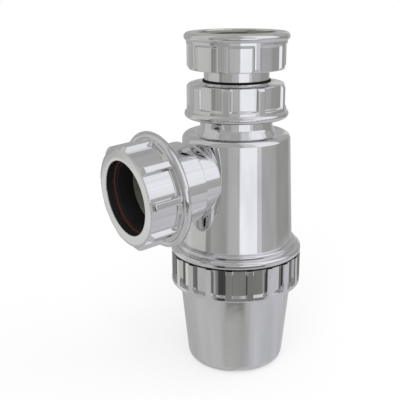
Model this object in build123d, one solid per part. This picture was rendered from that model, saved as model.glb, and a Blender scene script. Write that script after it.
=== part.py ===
from build123d import *
import os
from math import cos, radians, sin, tan

# Chrome-plated bottle trap for a 32 mm waste pipe, in millimetres and degrees.
# Z is the trap's axis, Z = 0 is the base of the cup, and the outlet leaves towards -X.

# Waste pipe and clearances
pipe_r = 17.3
pipe_wall = 1.5
slide_gap = 0.3
turn_gap = 0.3
seal_gap = 0.15
small_round = 0.4

# Cup: the bottle, with its grip ring
ring_r = 36.1
ring_overhang = 9.55
cup_base_r = ring_r - ring_overhang
cup_taper = 5.7
cup_base_round = 5.5
cup_wall = 2.4
cup_floor = 2.5
cup_floor_round = 4.0
ring_bottom_z = 48.2
ring_top_z = 65.0
ring_bottom_round = 1.5
ring_top_round = 0.5
ring_pocket_z = 50.0
ring_pocket_depth = 2.0
ring_pocket_rise = 1.2
ring_rib_count = 20
ring_rib_width = 3.6
ring_rib_turn = 11.24
ring_wall = 2.5

# Cup seal, flat on the cup's ledge
ledge_z = 50.2
cup_seal_t = 2.0

# Body: skirt, double bead, barrel and shoulder
body_wall = 2.4
flange_gap = 0.8
flange_overhang = 0.1
flange_r = ring_r + flange_overhang
flange_t = 4.2
flange_round = 1.3
step_in = 2.6
step_r = flange_r - step_in
step_t = 2.6
step_round = 1.3
barrel_in = 2.35
barrel_low_r = step_r - barrel_in
barrel_draft = 2.25
barrel_top_r = barrel_low_r - barrel_draft
barrel_top_z = 131.75
shoulder_round = 5.2
shoulder_in = 5.7
crease_r = barrel_top_r - shoulder_in
flare_t = 2.6
flare_round = 4.0
neck_wall = 1.3
roof_round = 3.0

# Dip tube, under the barrel's roof
dip_wall = 1.8
dip_end_z = 19.0
dip_stop_z = 82.0
dip_stop_step = 1.6
dip_taper_t = 4.0

# Neck socket and the thread that both upper nuts share
thread_rise = 2.9
thread_r = pipe_r + thread_rise
socket_low_z = 143.5
socket_top_z = 153.6
mouth_chamfer = 1.2

# Upper nuts, alike but for the slope of the closed face
nut_opening_gap = 0.8
neck_nut_face_drop = 1.2
inlet_nut_face_drop = 0.3
nut_wall = 5.05
nut_panel_r = thread_r + nut_wall
nut_rib_rise = 1.25
nut_rib_r = nut_panel_r + nut_rib_rise
nut_rib_chamfer_t = 1.4
nut_panel_t = 13.8
nut_bead_rise = 1.25
nut_bead_r = nut_rib_r + nut_bead_rise
nut_bead_round = 2.2
nut_t = 19.3
nut_closed_wall = 2.7
nut_relief_depth = 0.4
nut_relief_t = 5.3
nut_rib_count = 9
nut_rib_top_width = 3.3
nut_rib_base_width = 3.9
nut_panel_round = 1.1
nut_mouth_chamfer = 0.8
inlet_rib_turn = 15.7
neck_rib_turn = 21.4

# Sealing sets of the neck and of the outlet
slip_ring_t = 1.2
neck_seal_t = 2.0
neck_lip_wall = 0.4
neck_lip_stand = 0.7
outlet_seal_t = 2.2
outlet_slip_ring_gap = 1.4

# Inlet tube
tube_t = 88.2
tube_flange_gap = 0.9
tube_flange_r = thread_r - tube_flange_gap
tube_flange_t = 2.2
washer_t = 3.0
washer_wall = 3.6

# Outlet branch, measured along its falling axis from the trap's axis
outlet_fall = 4.9
outlet_z = 112.2
branch_rise = 1.4
branch_r = pipe_r + branch_rise
branch_bore_in = 1.55
branch_bore_r = pipe_r - branch_bore_in
branch_bore_start = 23.0
collar_start = 34.0
collar_rise = 2.8
collar_r = branch_r + collar_rise
collar_round = 0.6
pipe_stop = 37.0
outlet_thread_start = 50.0
outlet_thread_rise = 0.7
outlet_thread_r = collar_r + outlet_thread_rise
outlet_socket_end = 61.8
outlet_mouth_chamfer = 2.4

# Outlet nut
outlet_opening_gap = 2.0
outlet_opening_r = pipe_r + outlet_opening_gap
outlet_closed_wall = 4.6
outlet_wall = 3.1
outlet_panel_r = outlet_thread_r + outlet_wall
outlet_rib_rise = 2.3
outlet_rib_r = outlet_panel_r + outlet_rib_rise
outlet_rib_chamfer_t = 1.8
outlet_panel_t = 16.4
outlet_bead_rise = 2.8
outlet_bead_r = outlet_rib_r + outlet_bead_rise
outlet_bead_round = 2.2
outlet_nut_t = 20.8
outlet_rib_count = 9
outlet_rib_top_width = 3.0
outlet_rib_base_width = 5.0
outlet_rib_turn = 7.0

# Heights and radii that follow from the sizes above
cup_slope = tan(radians(cup_taper))
bore_r = pipe_r + slide_gap
neck_r = bore_r + neck_wall
dip_r = bore_r + dip_wall
dip_bore_r = bore_r - dip_stop_step
skirt_r = ring_r - ring_pocket_depth - ring_wall - turn_gap
skirt_z = ledge_z + cup_seal_t
flange_z = ring_top_z + flange_gap
flange_top_z = flange_z + flange_t
step_top_z = flange_top_z + step_t
roof_z = barrel_top_z - body_wall
seal_bore_r = pipe_r + seal_gap
neck_nut_z = socket_top_z + neck_seal_t + slip_ring_t + nut_closed_wall
tube_top_z = dip_stop_z + tube_t
inlet_nut_z = tube_top_z - tube_flange_t - nut_closed_wall
outlet_front = outlet_socket_end + outlet_seal_t + slip_ring_t + outlet_closed_wall

# The branch's frame has +Z out along the falling outlet, and the outlet nut's has +Z back along it
fall = radians(outlet_fall)
branch_plane = Plane(origin=(0, 0, outlet_z), x_dir=(-sin(fall), 0, cos(fall)), z_dir=(-cos(fall), 0, -sin(fall)))
outlet_nut_plane = Plane(
    origin=branch_plane.from_local_coords((0, 0, outlet_front)),
    x_dir=branch_plane.x_dir,
    z_dir=-branch_plane.z_dir,
)


def turned(*corners):
    """A solid turned about Z from corners of (radius, height) or (radius, height, rounding)."""
    points = [corner[:2] for corner in corners]
    rounds = [corner[2] if len(corner) == 3 else 0 for corner in corners]
    outline = FilletPolyline(*points, radius=rounds, close=True)
    return revolve(Plane.XZ * make_face(outline), Axis.Z)


def bored(radius, low, high):
    """A plain round bore, or a disc, between two heights."""
    return turned((0, low), (radius, low), (radius, high), (0, high))


def ring(inner_r, outer_r, low, high):
    """A flat ring between two heights."""
    return turned((inner_r, low), (outer_r, low), (outer_r, high), (inner_r, high))


def around(piece, count, turn):
    """Copies of a piece spaced evenly about Z, the first one at the angle turn."""
    return [place * piece for place in PolarLocations(0, count, start_angle=turn)]


def panel_cutter(panel_r, rib_r, panel_t, count, top_width, base_width):
    """The hollow between two ribs of a nut, on +X, open at the closed end and rounded at the other."""
    half_pitch = 180 / count
    base_angle = half_pitch - Vector(panel_r, base_width / 2).get_angle(Vector(1, 0))
    top_angle = half_pitch - Vector(rib_r, top_width / 2).get_angle(Vector(1, 0))
    cut_r = rib_r + nut_rib_chamfer_t
    floor_arc = CenterArc((0, 0), panel_r, -base_angle, 2 * base_angle)
    outer_arc = CenterArc((0, 0), cut_r, -top_angle, 2 * top_angle)
    flanks = [Line(floor_arc @ 0, outer_arc @ 0), Line(floor_arc @ 1, outer_arc @ 1)]
    section = make_face(Curve() + [floor_arc, outer_arc, *flanks])
    prism = extrude(section, panel_t)
    half_width = rib_r * sin(radians(top_angle))
    window = FilletPolyline(
        (-half_width, -panel_t), (half_width, -panel_t), (half_width, panel_t), (-half_width, panel_t),
        radius=[0, 0, nut_panel_round, nut_panel_round], close=True,
    )
    return prism & extrude(Plane.YZ * make_face(window), 2 * rib_r)


def grip_nut(opening_r, face_drop, panel_r, rib_r, rib_chamfer_t, panel_t, bead_r, bead_round, total_t, ribs):
    """The outside of a ribbed nut with its closed end at Z = 0, its beaded end up, and its opening."""
    count, top_width, base_width, turn = ribs
    core = turned(
        (0, 0), (opening_r, 0), (panel_r, face_drop), (rib_r, face_drop + rib_chamfer_t),
        (rib_r, total_t - bead_round), (0, total_t - bead_round),
    )
    panel = panel_cutter(panel_r, rib_r, panel_t, count, top_width, base_width)
    core -= around(panel, count, turn + 180 / count)
    bead = Torus(bead_r - bead_round, bead_round) + Cylinder(bead_r - bead_round, 2 * bead_round)
    core += Pos(0, 0, total_t - bead_round) * bead
    return core - bored(opening_r, 0, total_t)


def upper_nut(rib_turn, face_drop):
    """The nut used at the neck and at the inlet, with a relief below its thread."""
    ribs = (nut_rib_count, nut_rib_top_width, nut_rib_base_width, rib_turn)
    nut = grip_nut(
        pipe_r + nut_opening_gap, face_drop, nut_panel_r, nut_rib_r, nut_rib_chamfer_t, nut_panel_t,
        nut_bead_r, nut_bead_round, nut_t, ribs,
    )
    relief_top = nut_closed_wall + nut_relief_t
    bore = turned(
        (0, nut_closed_wall), (thread_r + nut_relief_depth, nut_closed_wall),
        (thread_r + nut_relief_depth, relief_top), (thread_r, relief_top + nut_relief_depth),
        (thread_r, nut_t - nut_mouth_chamfer), (thread_r + nut_mouth_chamfer, nut_t), (0, nut_t),
    )
    return nut - bore


def inlet_nut():
    """The upper nut with its open end up, hung on the tube's flange."""
    return Pos(0, 0, inlet_nut_z) * upper_nut(inlet_rib_turn, inlet_nut_face_drop)


def neck_nut():
    """Its twin turned over and screwed onto the neck's socket, with a sloping closed face."""
    return Pos(0, 0, neck_nut_z) * (Rot(180, 0, 0) * upper_nut(-neck_rib_turn, neck_nut_face_drop))


def outlet_nut():
    """The larger nut on the outlet's socket, with ribs that stand past its front face."""
    ribs = (outlet_rib_count, outlet_rib_top_width, outlet_rib_base_width, outlet_rib_turn)
    nut = grip_nut(
        outlet_opening_r, 0, outlet_panel_r, outlet_rib_r, outlet_rib_chamfer_t, outlet_panel_t,
        outlet_bead_r, outlet_bead_round, outlet_nut_t, ribs,
    )
    bore = turned(
        (0, outlet_closed_wall), (outlet_thread_r, outlet_closed_wall),
        (outlet_thread_r, outlet_nut_t - nut_mouth_chamfer),
        (outlet_thread_r + nut_mouth_chamfer, outlet_nut_t), (0, outlet_nut_t),
    )
    return outlet_nut_plane.location * (nut - bore)


def body_outside():
    """The skirt, double bead, barrel, shoulder, neck and threaded socket, filled."""
    return turned(
        (0, skirt_z), (skirt_r, skirt_z, small_round), (skirt_r, flange_z),
        (flange_r, flange_z, small_round), (flange_r, flange_top_z, flange_round),
        (step_r, flange_top_z), (step_r, step_top_z, step_round),
        (barrel_low_r, step_top_z, small_round), (barrel_top_r, barrel_top_z, shoulder_round),
        (crease_r, barrel_top_z), (neck_r, barrel_top_z + flare_t, flare_round), (neck_r, socket_low_z),
        (thread_r - turn_gap, socket_low_z + mouth_chamfer), (thread_r - turn_gap, socket_top_z, small_round),
        (0, socket_top_z),
    )


def branch_outside():
    """The outlet branch with its collar and threaded socket, filled, along its own axis."""
    socket_r = outlet_thread_r - turn_gap
    return branch_plane.location * turned(
        (0, branch_bore_start), (branch_r, branch_bore_start), (branch_r, collar_start),
        (collar_r, collar_start, collar_round), (collar_r, outlet_thread_start),
        (socket_r, outlet_thread_start), (socket_r, outlet_socket_end, small_round), (0, outlet_socket_end),
    )


def branch_bore():
    """The outlet's waterway, the stop for the pipe, the pipe's bore and the mouth for the seal."""
    mouth_z = outlet_socket_end - outlet_mouth_chamfer
    return branch_plane.location * turned(
        (0, branch_bore_start), (branch_bore_r, branch_bore_start), (branch_bore_r, pipe_stop),
        (bore_r, pipe_stop), (bore_r, mouth_z), (bore_r + outlet_mouth_chamfer, outlet_socket_end),
        (0, outlet_socket_end),
    )


def barrel_hollow():
    """The space inside the skirt and barrel, open at the bottom."""
    return turned(
        (0, skirt_z), (skirt_r - body_wall, skirt_z), (barrel_low_r - body_wall, step_top_z),
        (barrel_top_r - body_wall, roof_z, roof_round), (0, roof_z),
    )


def neck_bore():
    """The bore down through the neck, with the mouth for its seal."""
    return turned(
        (0, roof_z), (bore_r, roof_z), (bore_r, socket_top_z - mouth_chamfer),
        (bore_r + mouth_chamfer, socket_top_z), (0, socket_top_z),
    )


def body():
    """The barrel with its skirt, beads, neck and outlet branch."""
    return body_outside() + branch_outside() - barrel_hollow() - neck_bore() - branch_bore()


def dip_tube():
    """The tube under the barrel's roof, with the stop that the inlet tube stands on."""
    taper_z = dip_stop_z - dip_taper_t
    low_r = dip_bore_r + dip_wall
    return turned(
        (dip_bore_r, dip_end_z), (low_r, dip_end_z), (low_r, taper_z - dip_taper_t), (dip_r, taper_z),
        (dip_r, roof_z), (bore_r, roof_z), (bore_r, dip_stop_z), (dip_bore_r, dip_stop_z),
    )


def ring_pocket():
    """One hollow of the grip ring, on +X, open at the top, with a sloping floor."""
    floor_r = ring_r - ring_pocket_depth
    outer_r = ring_r + ring_pocket_depth
    drop = ring_pocket_rise * 2
    profile = Polyline(
        (floor_r, ring_pocket_z + ring_pocket_rise), (outer_r, ring_pocket_z + ring_pocket_rise - drop),
        (outer_r, ring_top_z + ring_pocket_depth), (floor_r, ring_top_z + ring_pocket_depth), close=True,
    )
    pitch = 360 / ring_rib_count
    rib_angle = 2 * Vector(ring_r, ring_rib_width / 2).get_angle(Vector(1, 0))
    hollow = revolve(Plane.XZ * make_face(profile), Axis.Z, pitch - rib_angle)
    return Rot(0, 0, -(pitch - rib_angle) / 2) * hollow


def cup():
    """The bottle with its grip ring, its ledge for the seal and its thread bore."""
    ledge_r = cup_base_r + ledge_z * cup_slope - cup_wall
    outside = turned(
        (0, 0), (cup_base_r, 0, cup_base_round), (cup_base_r + ring_bottom_z * cup_slope, ring_bottom_z),
        (ring_r, ring_bottom_z, ring_bottom_round), (ring_r, ring_top_z, ring_top_round), (0, ring_top_z),
    )
    pitch = 360 / ring_rib_count
    outside -= around(ring_pocket(), ring_rib_count, ring_rib_turn + pitch / 2)
    inside = turned(
        (0, cup_floor), (cup_base_r - cup_wall, cup_floor, cup_floor_round), (ledge_r, ledge_z),
        (skirt_r + turn_gap, ledge_z), (skirt_r + turn_gap, ring_top_z), (0, ring_top_z),
    )
    return outside - inside


def cup_seal():
    """The flat rubber ring between the cup's ledge and the body's skirt."""
    return ring(skirt_r - body_wall, skirt_r, ledge_z, skirt_z)


def inlet_tube():
    """The telescopic tube, with the flange that the inlet nut draws up."""
    flange_low_z = tube_top_z - tube_flange_t
    return turned(
        (pipe_r - pipe_wall, dip_stop_z), (pipe_r, dip_stop_z, small_round), (pipe_r, flange_low_z),
        (tube_flange_r, flange_low_z, small_round), (tube_flange_r, tube_top_z, small_round),
        (pipe_r - pipe_wall, tube_top_z, small_round),
    )


def inlet_washer():
    """The flat rubber washer on top of the tube's flange."""
    outer_r = thread_r - turn_gap
    return ring(outer_r - washer_wall, outer_r, tube_top_z, tube_top_z + washer_t)


def neck_slip_ring():
    """The thin ring that the neck nut turns on."""
    low_z = socket_top_z + neck_seal_t
    return ring(pipe_r + nut_opening_gap, thread_r - turn_gap, low_z, low_z + slip_ring_t)


def neck_seal():
    """The rubber ring on the neck's mouth, with its taper below and its lip in the nut's opening."""
    flange_top = socket_top_z + neck_seal_t
    lip_top = neck_nut_z + neck_lip_stand
    lip_r = seal_bore_r + neck_lip_wall
    return turned(
        (seal_bore_r, socket_top_z - mouth_chamfer), (bore_r, socket_top_z - mouth_chamfer),
        (bore_r + mouth_chamfer, socket_top_z), (thread_r - 2 * turn_gap, socket_top_z),
        (thread_r - 2 * turn_gap, flange_top), (lip_r, flange_top), (lip_r, lip_top), (seal_bore_r, lip_top),
    )


def outlet_slip_ring():
    """The thin ring seen past the outlet nut's lip."""
    low_z = outlet_socket_end + outlet_seal_t
    bore = pipe_r + outlet_slip_ring_gap
    return branch_plane.location * ring(bore, outlet_thread_r - turn_gap, low_z, low_z + slip_ring_t)


def outlet_seal():
    """The rubber ring in the outlet's mouth."""
    taper_r = bore_r + outlet_mouth_chamfer
    outer_r = outlet_thread_r - 2 * turn_gap
    return branch_plane.location * turned(
        (seal_bore_r, outlet_socket_end - outlet_mouth_chamfer), (bore_r, outlet_socket_end - outlet_mouth_chamfer),
        (taper_r, outlet_socket_end), (outer_r, outlet_socket_end),
        (outer_r, outlet_socket_end + outlet_seal_t), (seal_bore_r, outlet_socket_end + outlet_seal_t),
    )


pieces = {
    "body": body,
    "dip_tube": dip_tube,
    "cup": cup,
    "cup_seal": cup_seal,
    "neck_nut": neck_nut,
    "neck_slip_ring": neck_slip_ring,
    "neck_seal": neck_seal,
    "inlet_tube": inlet_tube,
    "inlet_washer": inlet_washer,
    "inlet_nut": inlet_nut,
    "outlet_nut": outlet_nut,
    "outlet_slip_ring": outlet_slip_ring,
    "outlet_seal": outlet_seal,
}

os.makedirs("parts", exist_ok=True)
for name, make in pieces.items():
    export_step(make(), f"parts/{name}.step")
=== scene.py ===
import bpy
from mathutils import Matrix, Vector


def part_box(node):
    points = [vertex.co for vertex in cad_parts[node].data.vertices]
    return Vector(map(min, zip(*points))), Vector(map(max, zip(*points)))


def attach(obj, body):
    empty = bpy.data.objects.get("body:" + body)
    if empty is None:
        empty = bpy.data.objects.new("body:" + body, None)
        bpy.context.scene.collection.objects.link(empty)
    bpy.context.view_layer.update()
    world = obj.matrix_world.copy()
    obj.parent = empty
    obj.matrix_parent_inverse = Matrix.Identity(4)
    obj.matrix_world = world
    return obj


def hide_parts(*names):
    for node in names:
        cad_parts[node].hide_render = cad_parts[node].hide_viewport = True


bl_info = {
    "name": "Chrome Bottle Trap",
    "version": (1, 0, 0),
    "blender": (4, 5, 0),
    "location": "View3D > Sidebar > Bottle Trap",
    "description": "Builds a chrome-plated bottle trap with its nuts, seals and threads",
    "category": "Add Mesh",
}

from math import atan2, cos, pi, radians, sin, sqrt, tan
from typing import NamedTuple

import bpy
import bmesh
import numpy as np
from bpy.props import FloatProperty, FloatVectorProperty, IntProperty, PointerProperty
from mathutils import Matrix, Vector

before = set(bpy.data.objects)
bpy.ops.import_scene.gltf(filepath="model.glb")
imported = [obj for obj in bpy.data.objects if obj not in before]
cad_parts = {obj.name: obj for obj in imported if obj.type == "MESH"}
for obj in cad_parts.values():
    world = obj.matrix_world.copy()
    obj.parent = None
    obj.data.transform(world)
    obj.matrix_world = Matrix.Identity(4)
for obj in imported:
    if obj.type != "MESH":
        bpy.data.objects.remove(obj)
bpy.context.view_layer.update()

ROUND_STEPS = 8
TURN_STEPS = 256
SEAM = 2e-6
SHARP_ANGLE = radians(32)
FLOOR_WHITE = 0.6
FLOOR_FADE = (0.06, 0.42)
NUT_COLUMNS = 56
THREAD_STEPS = 96
LINING_SKIN = 0.00004

# Heights of pieces on the trap's axis, from the CAD nodes
neck_nut_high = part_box("neck_nut")[1]
inlet_nut_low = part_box("inlet_nut")[0]
tube_low, tube_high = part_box("inlet_tube")

# The outlet's falling axis, and the place of its nut's front face along it
OUTLET_FALL = radians(4.9)
OUTLET_HEIGHT = 0.1122
OUTLET_NUT_FRONT = 0.0698


def length(name, description, default):
    """A size in metres for a property group."""
    return FloatProperty(
        name=name, description=description, default=default, min=0.0,
        unit="LENGTH", subtype="DISTANCE", precision=5,
    )


def angle(name, description, default):
    """An angle for a property group, its default given in degrees."""
    return FloatProperty(
        name=name, description=description, default=radians(default), unit="ROTATION", subtype="ANGLE"
    )


def colour(name, description, default):
    """A linear colour for a property group."""
    return FloatVectorProperty(
        name=name, description=description, default=default, size=3, min=0.0, max=1.0, subtype="COLOR"
    )


def number(name, description, default):
    """A number of ribs for a property group."""
    return IntProperty(name=name, description=description, default=default, min=3, max=60)


class PipeSizes(bpy.types.PropertyGroup):
    """Sizes that follow from the waste pipe, and those of the threads and the telescopic tube."""

    pipe_radius: length("Pipe Radius", "Outside radius of the 32 mm pipe", 0.0173)
    bore_radius: length("Bore Radius", "Bore that the pipe slides in", 0.0176)
    thread_radius: length("Inlet Thread Radius", "Mean radius of the thread of both upper nuts", 0.0202)
    outlet_thread_radius: length("Outlet Thread Radius", "Mean radius of the outlet's thread", 0.0222)
    thread_pitch: length("Thread Pitch", "Rise of a pipe thread in one turn", 0.00230909)
    thread_depth: length("Thread Depth", "Height of a pipe thread's ridge", 0.00055)
    cup_pitch: length("Cup Thread Pitch", "Rise of the cup's thread in one turn", 0.0030)
    turn_gap: length("Running Gap", "Gap between parts that turn on each other", 0.0003)
    tube_wall: length("Tube Wall", "Wall of the telescopic tube", 0.0015)
    tube_flange: length("Tube Flange", "Thickness of the telescopic tube's flange", 0.0022)
    tube_flange_gap: length("Tube Flange Gap", "Gap from the tube's flange to the thread", 0.0009)
    tube_round: length("Tube Round", "Rounding of the telescopic tube's edges", 0.0004)


class BodySizes(bpy.types.PropertyGroup):
    """Sizes of the barrel with its flange, shoulder and neck, and of the dip tube."""

    wall: length("Wall", "Wall of the barrel and skirt", 0.0024)
    skirt_radius: length("Skirt Radius", "Outside of the skirt inside the cup's ring", 0.0313)
    skirt_low: length("Skirt Low", "Height of the skirt's lower edge", 0.0522)
    flange_radius: length("Flange Radius", "Outside of the wide bead above the cup", 0.0362)
    flange_low: length("Flange Low", "Height of the wide bead's lower face", 0.0658)
    flange_thickness: length("Flange Thickness", "Thickness of the wide bead", 0.0042)
    step_radius: length("Step Radius", "Outside of the narrow bead", 0.0336)
    step_thickness: length("Step Thickness", "Thickness of the narrow bead", 0.0026)
    barrel_low_radius: length("Barrel Low Radius", "Radius of the barrel above the beads", 0.03125)
    barrel_top_radius: length("Barrel Top Radius", "Radius of the barrel below its shoulder", 0.0290)
    barrel_top: length("Barrel Top", "Height of the shoulder's top", 0.13175)
    flange_top_round: length("Flange Top Round", "Rounding of the wide bead's upper edge", 0.0019)
    flange_low_round: length("Flange Low Round", "Rounding of the wide bead's lower edge", 0.0013)
    step_round: length("Step Round", "Rounding of the narrow bead", 0.0013)
    shoulder_round: length("Shoulder Round", "Rounding of the shoulder", 0.0036)
    rim_rise: length("Rim Rise", "Rise of the shoulder towards its rim", 0.0009)
    roof_round: length("Roof Round", "Rounding under the barrel's roof", 0.0030)
    crease_in: length("Crease In", "How far the neck's foot lies inside the barrel's top", 0.0077)
    crease: length("Crease", "Depth and width of the valley's outer side round the neck's foot", 0.0004)
    flare_height: length("Flare Height", "Height of the neck's widening foot", 0.0034)
    flare_round: length("Flare Round", "Rounding above the neck's foot", 0.0050)
    neck_wall: length("Neck Wall", "Wall of the neck below its thread", 0.0018)
    mouth_chamfer: length("Mouth Chamfer", "Chamfers at both ends of the neck's socket", 0.0012)
    socket_low: length("Socket Low", "Height where the neck's thread starts", 0.1435)
    socket_top: length("Socket Top", "Height of the neck's mouth", 0.1536)
    dip_low: length("Dip Tube Low", "Height of the dip tube's lower end", 0.0190)
    dip_stop: length("Dip Tube Stop", "Height of the step that the inlet tube rests on", 0.0820)
    dip_step: length("Dip Tube Step", "Width of the step that the inlet tube rests on", 0.0016)
    dip_wall: length("Dip Tube Wall", "Wall of the dip tube", 0.0018)
    dip_taper: length("Dip Tube Taper", "Height of the widening, and its distance below the step", 0.0040)


class BranchSizes(bpy.types.PropertyGroup):
    """Sizes of the outlet branch, measured along its falling axis from the trap's axis."""

    opening_radius: length("Opening Radius", "Hole in the barrel's wall behind the branch", 0.0165)
    opening_start: length("Opening Start", "Inner end of the hole in the barrel's wall", 0.0200)
    opening_end: length("Opening End", "Outer end of the hole in the barrel's wall", 0.0400)
    start: length("Start", "Inner end of the branch, before the barrel is hollowed out of it", 0.0240)
    wall: length("Wall", "Wall of the branch over the pipe's radius", 0.0014)
    waterway_radius: length("Waterway Radius", "Bore of the branch behind the pipe's stop", 0.01575)
    # The skin in the bore carries a painted reflection.
    lining_start: length("Lining Start", "Inner end of the bare skin in the bore", 0.0270)
    collar_start: length("Collar Start", "Where the branch widens to its collar", 0.0340)
    collar_radius: length("Collar Radius", "Outside of the collar", 0.0215)
    collar_round: length("Collar Round", "Rounding of the collar's edge", 0.0006)
    pipe_stop: length("Pipe Stop", "Where the pipe comes to rest", 0.0370)
    thread_start: length("Thread Start", "Where the socket's thread starts", 0.0500)
    sleeve_start: length("Sleeve Start", "Inner end of the outlet seal's sleeve", 0.0548)
    socket_end: length("Socket End", "Mouth of the socket", 0.0618)
    mouth_lead: length("Mouth Lead", "Chamfer inside the socket's mouth", 0.0024)


class CupSizes(bpy.types.PropertyGroup):
    """Sizes of the cup and its ribbed grip ring."""

    base_radius: length("Base Radius", "Radius of the cup at its base", 0.02655)
    taper: angle("Taper", "Slope of the cup's side", 5.7)
    base_round: length("Base Round", "Rounding of the base's edge", 0.0055)
    wall: length("Wall", "Wall of the cup", 0.0024)
    ring_radius: length("Ring Radius", "Radius over the grip ring's ribs", 0.0361)
    ring_low: length("Ring Low", "Height of the grip ring's lower face", 0.0475)
    ring_high: length("Ring High", "Height of the grip ring's upper face", 0.0650)
    ring_foot_round: length("Ring Foot Round", "Rounding between the cup's side and its ring", 0.0006)
    ring_low_round: length("Ring Low Round", "Rounding of the grip ring's lower edge", 0.0010)
    ring_top_round: length("Ring Top Round", "Rounding of the grip ring's upper edge", 0.0001)
    floor: length("Floor", "Thickness of the cup's floor", 0.0025)
    floor_round: length("Floor Round", "Rounding round the cup's floor inside", 0.0040)
    ledge: length("Ledge", "Height of the ledge that carries the cup's seal", 0.0502)
    pocket_depth: length("Pocket Depth", "Depth of a pocket between two ribs", 0.0020)
    pocket_low: length("Pocket Low", "Height of a pocket's lower edge", 0.0500)
    pocket_rise: length("Pocket Rise", "Height in which a pocket reaches its depth", 0.00008)
    pocket_undercut: length("Pocket Undercut", "How far the ledge below a pocket falls inwards", 0.0008)
    pocket_flank: length("Pocket Flank", "Width of a rib's side", 0.0003)
    rib_width: length("Rib Width", "Width of a rib of the grip ring", 0.0036)
    rib_count: number("Rib Count", "Ribs round the grip ring", 20)
    rib_turn: angle("Rib Turn", "Angle of the first rib about the trap's axis", 11.24)


class CouplingNutSizes(bpy.types.PropertyGroup):
    """Sizes of the ribbed nut that is used at the neck and at the inlet."""

    panel_radius: length("Panel Radius", "Radius of the flats between ribs", 0.02525)
    rib_radius: length("Rib Radius", "Radius over the ribs", 0.0265)
    panel_length: length("Panel Length", "Length of a panel from the closed end", 0.0138)
    bead_radius: length("Bead Radius", "Radius over the bead at the open end", 0.02775)
    total_length: length("Length", "Length of the nut", 0.0193)
    opening_radius: length("Opening Radius", "Opening in the closed end", 0.0181)
    closed_wall: length("Closed Wall", "Thickness of the closed end", 0.0027)
    bead_round: length("Bead Round", "Rounding of the bead", 0.0022)
    rib_flank: length("Rib Flank", "Width of a rib's sloping side", 0.0013)
    rib_chamfer: length("Rib Chamfer", "Height in which a rib rises from the closed end", 0.0014)
    relief_length: length("Relief Length", "Length of the relief below the thread", 0.0053)
    panel_round: length("Panel Round", "Rounding of a panel's far corners", 0.0011)
    face_drop: length("Face Drop", "How far the neck nut's closed face slopes back", 0.0012)
    inlet_face_drop: length("Inlet Face Drop", "How far the inlet nut's closed face slopes back", 0.0003)
    rib_width: length("Rib Width", "Width of a rib at its top", 0.0031)
    rib_count: number("Rib Count", "Ribs round each upper nut", 9)
    neck_turn: angle("Neck Nut Turn", "Angle of a rib of the neck nut", 21.4)
    inlet_turn: angle("Inlet Nut Turn", "Angle of a rib of the inlet nut", 15.7)


class OutletNutSizes(bpy.types.PropertyGroup):
    """Sizes of the larger nut on the outlet."""

    panel_radius: length("Panel Radius", "Radius of the flats between ribs", 0.0253)
    rib_radius: length("Rib Radius", "Radius over the ribs", 0.0276)
    panel_length: length("Panel Length", "Length of a panel from the front face", 0.0164)
    bead_radius: length("Bead Radius", "Radius over the bead at the back", 0.0304)
    total_length: length("Length", "Length of the nut", 0.0208)
    opening_radius: length("Opening Radius", "Opening in the front face", 0.0193)
    closed_wall: length("Closed Wall", "Thickness of the front wall", 0.0046)
    bead_round: length("Bead Round", "Rounding of the bead", 0.0022)
    rib_flank: length("Rib Flank", "Width of a rib's sloping side", 0.0012)
    rib_chamfer: length("Rib Chamfer", "Height in which a rib rises from the front face", 0.0018)
    relief_length: length("Relief Length", "Length of the relief below the thread", 0.0020)
    panel_round: length("Panel Round", "Rounding of a panel's far corners", 0.0009)
    rib_width: length("Rib Width", "Width of a rib at its top", 0.0032)
    rib_count: number("Rib Count", "Ribs round the outlet nut", 9)
    rib_turn: angle("Rib Turn", "Angle of the first rib about the outlet's axis", 7.0)


class SealSizes(bpy.types.PropertyGroup):
    """Sizes of the rubber seals, of the slip rings under the nuts and of the black ring that paints the
    shadow under the flange.
    """

    pipe_gap: length("Pipe Gap", "Gap between the pipe and its seal", 0.00015)
    neck_seal: length("Neck Seal", "Thickness of the neck's seal", 0.0020)
    lip_wall: length("Lip Wall", "Wall of the lip in the neck nut's opening", 0.0005)
    lip_stand: length("Lip Stand", "How far the lip stands above the neck nut", 0.0007)
    lip_round: length("Lip Round", "Rounding of the lip's edges", 0.00012)
    outlet_seal: length("Outlet Seal", "Thickness of the outlet's seal", 0.0022)
    outlet_seal_round: length("Outlet Seal Round", "Rounding where the pipe enters the seal", 0.0004)
    seal_round: length("Seal Round", "Rounding of the other edges", 0.00025)
    washer: length("Washer", "Thickness of the inlet washer", 0.0030)
    washer_width: length("Washer Width", "Width of the inlet washer's ring", 0.0036)
    slip_ring: length("Slip Ring", "Thickness of a slip ring", 0.0012)
    slip_ring_round: length("Slip Ring Round", "Rounding of a slip ring's edges", 0.0002)
    neck_ring_gap: length("Neck Ring Gap", "Gap between the tube and the neck's slip ring", 0.0008)
    outlet_ring_gap: length("Outlet Ring Gap", "Gap between the pipe and the outlet's slip ring", 0.0014)
    # The black ring under the flange is painted shadow, and these are its sizes.
    shadow_ring_lift: length("Shadow Ring Lift", "Gap under the black line, which sinks as far into the flange", 0.0001)
    shadow_ring_inset: length("Shadow Ring Inset", "How far the black line lies inside the flange", 0.0008)


class FinishLook(bpy.types.PropertyGroup):
    """Colours and surface of the plating, rubber and plastic."""

    chrome: colour("Chrome", "Colour of the polished plating", (0.80, 0.80, 0.805))
    chrome_haze: FloatProperty(
        name="Chrome Haze", description="Mean roughness of the plating", default=0.032, min=0.0
    )
    rubber: colour("Rubber", "Colour of the seals", (0.015, 0.015, 0.016))
    black_plastic: colour("Black Plastic", "Colour of the dip tube", (0.020, 0.020, 0.020))
    # The olive-grey inside the bores is a painted reflection.
    bore_reflection_colour: colour("Bore Reflection Colour", "Colour of the moulding inside the bores", (0.27, 0.265, 0.21))
    slip_ring: colour("Slip Ring", "Colour of the thin rings under the nuts", (0.075, 0.024, 0.014))


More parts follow.
